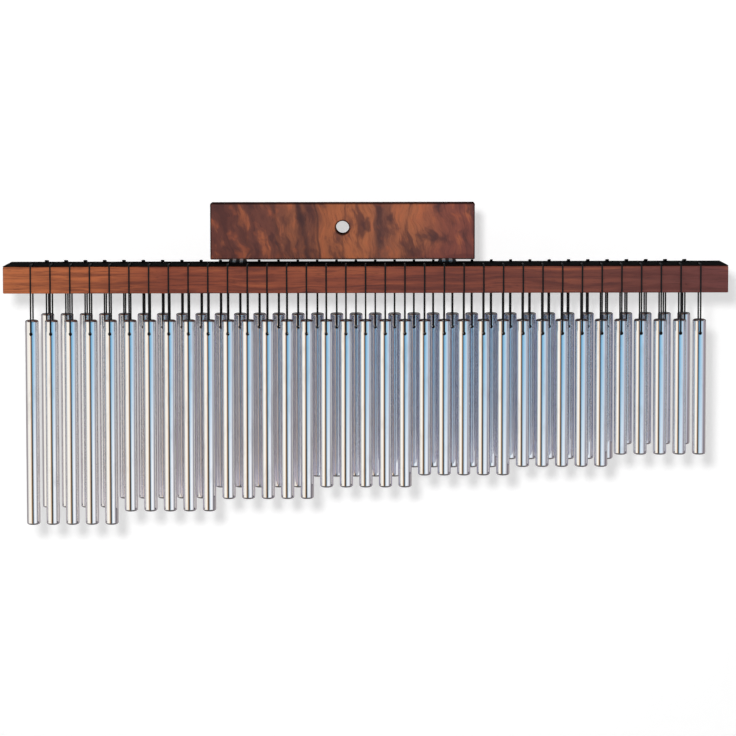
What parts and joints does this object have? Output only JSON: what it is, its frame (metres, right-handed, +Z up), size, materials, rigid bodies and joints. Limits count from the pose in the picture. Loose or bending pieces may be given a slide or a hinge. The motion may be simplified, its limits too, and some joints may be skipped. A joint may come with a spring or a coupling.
{
  "type": "bar chimes",
  "caption": "Double-row bar chimes: polished metal rods on cord loops under a wooden mantle, hinged to a wooden hanger board with one hang hole.",
  "frame": {"origin": "centre of the hang hole, halfway through the hanger board", "axes": "+X along the mantle towards the short bars, +Y out of the back, +Z up"},
  "size_m": [0.5144, 0.0407, 0.2285],
  "materials": {
    "board_wood": "satin lacquer",
    "mantle_wood": "satin lacquer",
    "strip_black": "matte",
    "bar_metal": "polished",
    "cord_black": "braided",
    "hinge_black": "satin",
    "pin_steel": "satin"
  },
  "bodies": {
    "board": {"hanger_board": "board_wood", "left_hinge_board_leaf": "hinge_black", "right_hinge_board_leaf": "hinge_black", "board_leaf_screws": "pin_steel"},
    "mantle": {"mantle": "mantle_wood", "top_strip": "strip_black", "left_hinge_mantle_leaf": "hinge_black", "right_hinge_mantle_leaf": "hinge_black", "left_hinge_pin": "pin_steel", "right_hinge_pin": "pin_steel", "mantle_leaf_screws": "pin_steel", "front_cords": "cord_black", "rear_cords": "cord_black"},
    "front_bar_01": {"front_bar_01": "bar_metal"},
    "front_bar_02": {"front_bar_02": "bar_metal"},
    "front_bar_03": {"front_bar_03": "bar_metal"},
    "front_bar_04": {"front_bar_04": "bar_metal"},
    "front_bar_05": {"front_bar_05": "bar_metal"},
    "front_bar_06": {"front_bar_06": "bar_metal"},
    "front_bar_07": {"front_bar_07": "bar_metal"},
    "front_bar_08": {"front_bar_08": "bar_metal"},
    "front_bar_09": {"front_bar_09": "bar_metal"},
    "front_bar_10": {"front_bar_10": "bar_metal"},
    "front_bar_11": {"front_bar_11": "bar_metal"},
    "front_bar_12": {"front_bar_12": "bar_metal"},
    "front_bar_13": {"front_bar_13": "bar_metal"},
    "front_bar_14": {"front_bar_14": "bar_metal"},
    "front_bar_15": {"front_bar_15": "bar_metal"},
    "front_bar_16": {"front_bar_16": "bar_metal"},
    "front_bar_17": {"front_bar_17": "bar_metal"},
    "front_bar_18": {"front_bar_18": "bar_metal"},
    "front_bar_19": {"front_bar_19": "bar_metal"},
    "front_bar_20": {"front_bar_20": "bar_metal"},
    "front_bar_21": {"front_bar_21": "bar_metal"},
    "front_bar_22": {"front_bar_22": "bar_metal"},
    "front_bar_23": {"front_bar_23": "bar_metal"},
    "front_bar_24": {"front_bar_24": "bar_metal"},
    "front_bar_25": {"front_bar_25": "bar_metal"},
    "front_bar_26": {"front_bar_26": "bar_metal"},
    "front_bar_27": {"front_bar_27": "bar_metal"},
    "front_bar_28": {"front_bar_28": "bar_metal"},
    "front_bar_29": {"front_bar_29": "bar_metal"},
    "front_bar_30": {"front_bar_30": "bar_metal"},
    "front_bar_31": {"front_bar_31": "bar_metal"},
    "front_bar_32": {"front_bar_32": "bar_metal"},
    "front_bar_33": {"front_bar_33": "bar_metal"},
    "front_bar_34": {"front_bar_34": "bar_metal"},
    "front_bar_35": {"front_bar_35": "bar_metal"},
    "rear_bars_set_1": {"rear_bars_set_1": "bar_metal"},
    "rear_bars_set_2": {"rear_bars_set_2": "bar_metal"},
    "rear_bars_set_3": {"rear_bars_set_3": "bar_metal"},
    "rear_bars_set_4": {"rear_bars_set_4": "bar_metal"},
    "rear_bars_set_5": {"rear_bars_set_5": "bar_metal"},
    "rear_bars_set_6": {"rear_bars_set_6": "bar_metal"},
    "rear_bars_set_7": {"rear_bars_set_7": "bar_metal"}
  },
  "joints": [
    {"name": "mantle_fold", "type": "hinge", "parent": "board", "child": "mantle", "pos_m": [0, -0.00984, -0.02385], "axis": [1, 0, 0], "range_deg": [-90, 2]},
    {"name": "front_bar_01_swing", "type": "hinge", "parent": "mantle", "child": "front_bar_01", "pos_m": [-0.22099, -0.02413, -0.04515], "axis": [1, 0, 0], "range_deg": [-35, 7], "deforming": ["front_cords"]},
    {"name": "front_bar_02_swing", "type": "hinge", "parent": "mantle", "child": "front_bar_02", "pos_m": [-0.20702, -0.02413, -0.04515], "axis": [1, 0, 0], "range_deg": [-35, 7], "deforming": ["front_cords"]},
    {"name": "front_bar_03_swing", "type": "hinge", "parent": "mantle", "child": "front_bar_03", "pos_m": [-0.19305, -0.02413, -0.04515], "axis": [1, 0, 0], "range_deg": [-35, 7], "deforming": ["front_cords"]},
    {"name": "front_bar_04_swing", "type": "hinge", "parent": "mantle", "child": "front_bar_04", "pos_m": [-0.17908, -0.02413, -0.04515], "axis": [1, 0, 0], "range_deg": [-35, 7], "deforming": ["front_cords"]},
    {"name": "front_bar_05_swing", "type": "hinge", "parent": "mantle", "child": "front_bar_05", "pos_m": [-0.16511, -0.02413, -0.04515], "axis": [1, 0, 0], "range_deg": [-35, 7], "deforming": ["front_cords"]},
    {"name": "front_bar_06_swing", "type": "hinge", "parent": "mantle", "child": "front_bar_06", "pos_m": [-0.15114, -0.02413, -0.04515], "axis": [1, 0, 0], "range_deg": [-35, 7], "deforming": ["front_cords"]},
    {"name": "front_bar_07_swing", "type": "hinge", "parent": "mantle", "child": "front_bar_07", "pos_m": [-0.13717, -0.02413, -0.04515], "axis": [1, 0, 0], "range_deg": [-35, 7], "deforming": ["front_cords"]},
    {"name": "front_bar_08_swing", "type": "hinge", "parent": "mantle", "child": "front_bar_08", "pos_m": [-0.1232, -0.02413, -0.04515], "axis": [1, 0, 0], "range_deg": [-35, 7], "deforming": ["front_cords"]},
    {"name": "front_bar_09_swing", "type": "hinge", "parent": "mantle", "child": "front_bar_09", "pos_m": [-0.10923, -0.02413, -0.04515], "axis": [1, 0, 0], "range_deg": [-35, 7], "deforming": ["front_cords"]},
    {"name": "front_bar_10_swing", "type": "hinge", "parent": "mantle", "child": "front_bar_10", "pos_m": [-0.09526, -0.02413, -0.04515], "axis": [1, 0, 0], "range_deg": [-35, 7], "deforming": ["front_cords"]},
    {"name": "front_bar_11_swing", "type": "hinge", "parent": "mantle", "child": "front_bar_11", "pos_m": [-0.08129, -0.02413, -0.04515], "axis": [1, 0, 0], "range_deg": [-35, 7], "deforming": ["front_cords"]},
    {"name": "front_bar_12_swing", "type": "hinge", "parent": "mantle", "child": "front_bar_12", "pos_m": [-0.06732, -0.02413, -0.04515], "axis": [1, 0, 0], "range_deg": [-35, 7], "deforming": ["front_cords"]},
    {"name": "front_bar_13_swing", "type": "hinge", "parent": "mantle", "child": "front_bar_13", "pos_m": [-0.05335, -0.02413, -0.04515], "axis": [1, 0, 0], "range_deg": [-35, 7], "deforming": ["front_cords"]},
    {"name": "front_bar_14_swing", "type": "hinge", "parent": "mantle", "child": "front_bar_14", "pos_m": [-0.03938, -0.02413, -0.04515], "axis": [1, 0, 0], "range_deg": [-35, 7], "deforming": ["front_cords"]},
    {"name": "front_bar_15_swing", "type": "hinge", "parent": "mantle", "child": "front_bar_15", "pos_m": [-0.02541, -0.02413, -0.04515], "axis": [1, 0, 0], "range_deg": [-35, 7], "deforming": ["front_cords"]},
    {"name": "front_bar_16_swing", "type": "hinge", "parent": "mantle", "child": "front_bar_16", "pos_m": [-0.01144, -0.02413, -0.04515], "axis": [1, 0, 0], "range_deg": [-35, 7], "deforming": ["front_cords"]},
    {"name": "front_bar_17_swing", "type": "hinge", "parent": "mantle", "child": "front_bar_17", "pos_m": [0.00253, -0.02413, -0.04515], "axis": [1, 0, 0], "range_deg": [-35, 7], "deforming": ["front_cords"]},
    {"name": "front_bar_18_swing", "type": "hinge", "parent": "mantle", "child": "front_bar_18", "pos_m": [0.0165, -0.02413, -0.04515], "axis": [1, 0, 0], "range_deg": [-35, 7], "deforming": ["front_cords"]},
    {"name": "front_bar_19_swing", "type": "hinge", "parent": "mantle", "child": "front_bar_19", "pos_m": [0.03047, -0.02413, -0.04515], "axis": [1, 0, 0], "range_deg": [-35, 7], "deforming": ["front_cords"]},
    {"name": "front_bar_20_swing", "type": "hinge", "parent": "mantle", "child": "front_bar_20", "pos_m": [0.04444, -0.02413, -0.04515], "axis": [1, 0, 0], "range_deg": [-35, 7], "deforming": ["front_cords"]},
    {"name": "front_bar_21_swing", "type": "hinge", "parent": "mantle", "child": "front_bar_21", "pos_m": [0.05841, -0.02413, -0.04515], "axis": [1, 0, 0], "range_deg": [-35, 7], "deforming": ["front_cords"]},
    {"name": "front_bar_22_swing", "type": "hinge", "parent": "mantle", "child": "front_bar_22", "pos_m": [0.07238, -0.02413, -0.04515], "axis": [1, 0, 0], "range_deg": [-35, 7], "deforming": ["front_cords"]},
    {"name": "front_bar_23_swing", "type": "hinge", "parent": "mantle", "child": "front_bar_23", "pos_m": [0.08635, -0.02413, -0.04515], "axis": [1, 0, 0], "range_deg": [-35, 7], "deforming": ["front_cords"]},
    {"name": "front_bar_24_swing", "type": "hinge", "parent": "mantle", "child": "front_bar_24", "pos_m": [0.10032, -0.02413, -0.04515], "axis": [1, 0, 0], "range_deg": [-35, 7], "deforming": ["front_cords"]},
    {"name": "front_bar_25_swing", "type": "hinge", "parent": "mantle", "child": "front_bar_25", "pos_m": [0.11429, -0.02413, -0.04515], "axis": [1, 0, 0], "range_deg": [-35, 7], "deforming": ["front_cords"]},
    {"name": "front_bar_26_swing", "type": "hinge", "parent": "mantle", "child": "front_bar_26", "pos_m": [0.12826, -0.02413, -0.04515], "axis": [1, 0, 0], "range_deg": [-35, 7], "deforming": ["front_cords"]},
    {"name": "front_bar_27_swing", "type": "hinge", "parent": "mantle", "child": "front_bar_27", "pos_m": [0.14223, -0.02413, -0.04515], "axis": [1, 0, 0], "range_deg": [-35, 7], "deforming": ["front_cords"]},
    {"name": "front_bar_28_swing", "type": "hinge", "parent": "mantle", "child": "front_bar_28", "pos_m": [0.1562, -0.02413, -0.04515], "axis": [1, 0, 0], "range_deg": [-35, 7], "deforming": ["front_cords"]},
    {"name": "front_bar_29_swing", "type": "hinge", "parent": "mantle", "child": "front_bar_29", "pos_m": [0.17017, -0.02413, -0.04515], "axis": [1, 0, 0], "range_deg": [-35, 7], "deforming": ["front_cords"]},
    {"name": "front_bar_30_swing", "type": "hinge", "parent": "mantle", "child": "front_bar_30", "pos_m": [0.18414, -0.02413, -0.04515], "axis": [1, 0, 0], "range_deg": [-35, 7], "deforming": ["front_cords"]},
    {"name": "front_bar_31_swing", "type": "hinge", "parent": "mantle", "child": "front_bar_31", "pos_m": [0.19811, -0.02413, -0.04515], "axis": [1, 0, 0], "range_deg": [-35, 7], "deforming": ["front_cords"]},
    {"name": "front_bar_32_swing", "type": "hinge", "parent": "mantle", "child": "front_bar_32", "pos_m": [0.21208, -0.02413, -0.04515], "axis": [1, 0, 0], "range_deg": [-35, 7], "deforming": ["front_cords"]},
    {"name": "front_bar_33_swing", "type": "hinge", "parent": "mantle", "child": "front_bar_33", "pos_m": [0.22605, -0.02413, -0.04515], "axis": [1, 0, 0], "range_deg": [-35, 7], "deforming": ["front_cords"]},
    {"name": "front_bar_34_swing", "type": "hinge", "parent": "mantle", "child": "front_bar_34", "pos_m": [0.24002, -0.02413, -0.04515], "axis": [1, 0, 0], "range_deg": [-35, 7], "deforming": ["front_cords"]},
    {"name": "front_bar_35_swing", "type": "hinge", "parent": "mantle", "child": "front_bar_35", "pos_m": [0.25399, -0.02413, -0.04515], "axis": [1, 0, 0], "range_deg": [-35, 7], "deforming": ["front_cords"]},
    {"name": "rear_bars_set_1_swing", "type": "hinge", "parent": "mantle", "child": "rear_bars_set_1", "pos_m": [-0.19305, 0.00445, -0.04515], "axis": [1, 0, 0], "range_deg": [-7, 35], "deforming": ["rear_cords"]},
    {"name": "rear_bars_set_2_swing", "type": "hinge", "parent": "mantle", "child": "rear_bars_set_2", "pos_m": [-0.13018, 0.00445, -0.04515], "axis": [1, 0, 0], "range_deg": [-7, 35], "deforming": ["rear_cords"]},
    {"name": "rear_bars_set_3_swing", "type": "hinge", "parent": "mantle", "child": "rear_bars_set_3", "pos_m": [-0.06033, 0.00445, -0.04515], "axis": [1, 0, 0], "range_deg": [-7, 35], "deforming": ["rear_cords"]},
    {"name": "rear_bars_set_4_swing", "type": "hinge", "parent": "mantle", "child": "rear_bars_set_4", "pos_m": [0.00951, 0.00445, -0.04515], "axis": [1, 0, 0], "range_deg": [-7, 35], "deforming": ["rear_cords"]},
    {"name": "rear_bars_set_5_swing", "type": "hinge", "parent": "mantle", "child": "rear_bars_set_5", "pos_m": [0.07937, 0.00445, -0.04515], "axis": [1, 0, 0], "range_deg": [-7, 35], "deforming": ["rear_cords"]},
    {"name": "rear_bars_set_6_swing", "type": "hinge", "parent": "mantle", "child": "rear_bars_set_6", "pos_m": [0.1562, 0.00445, -0.04515], "axis": [1, 0, 0], "range_deg": [-7, 35], "deforming": ["rear_cords"]},
    {"name": "rear_bars_set_7_swing", "type": "hinge", "parent": "mantle", "child": "rear_bars_set_7", "pos_m": [0.22605, 0.00445, -0.04515], "axis": [1, 0, 0], "range_deg": [-7, 35], "deforming": ["rear_cords"]}
  ]
}
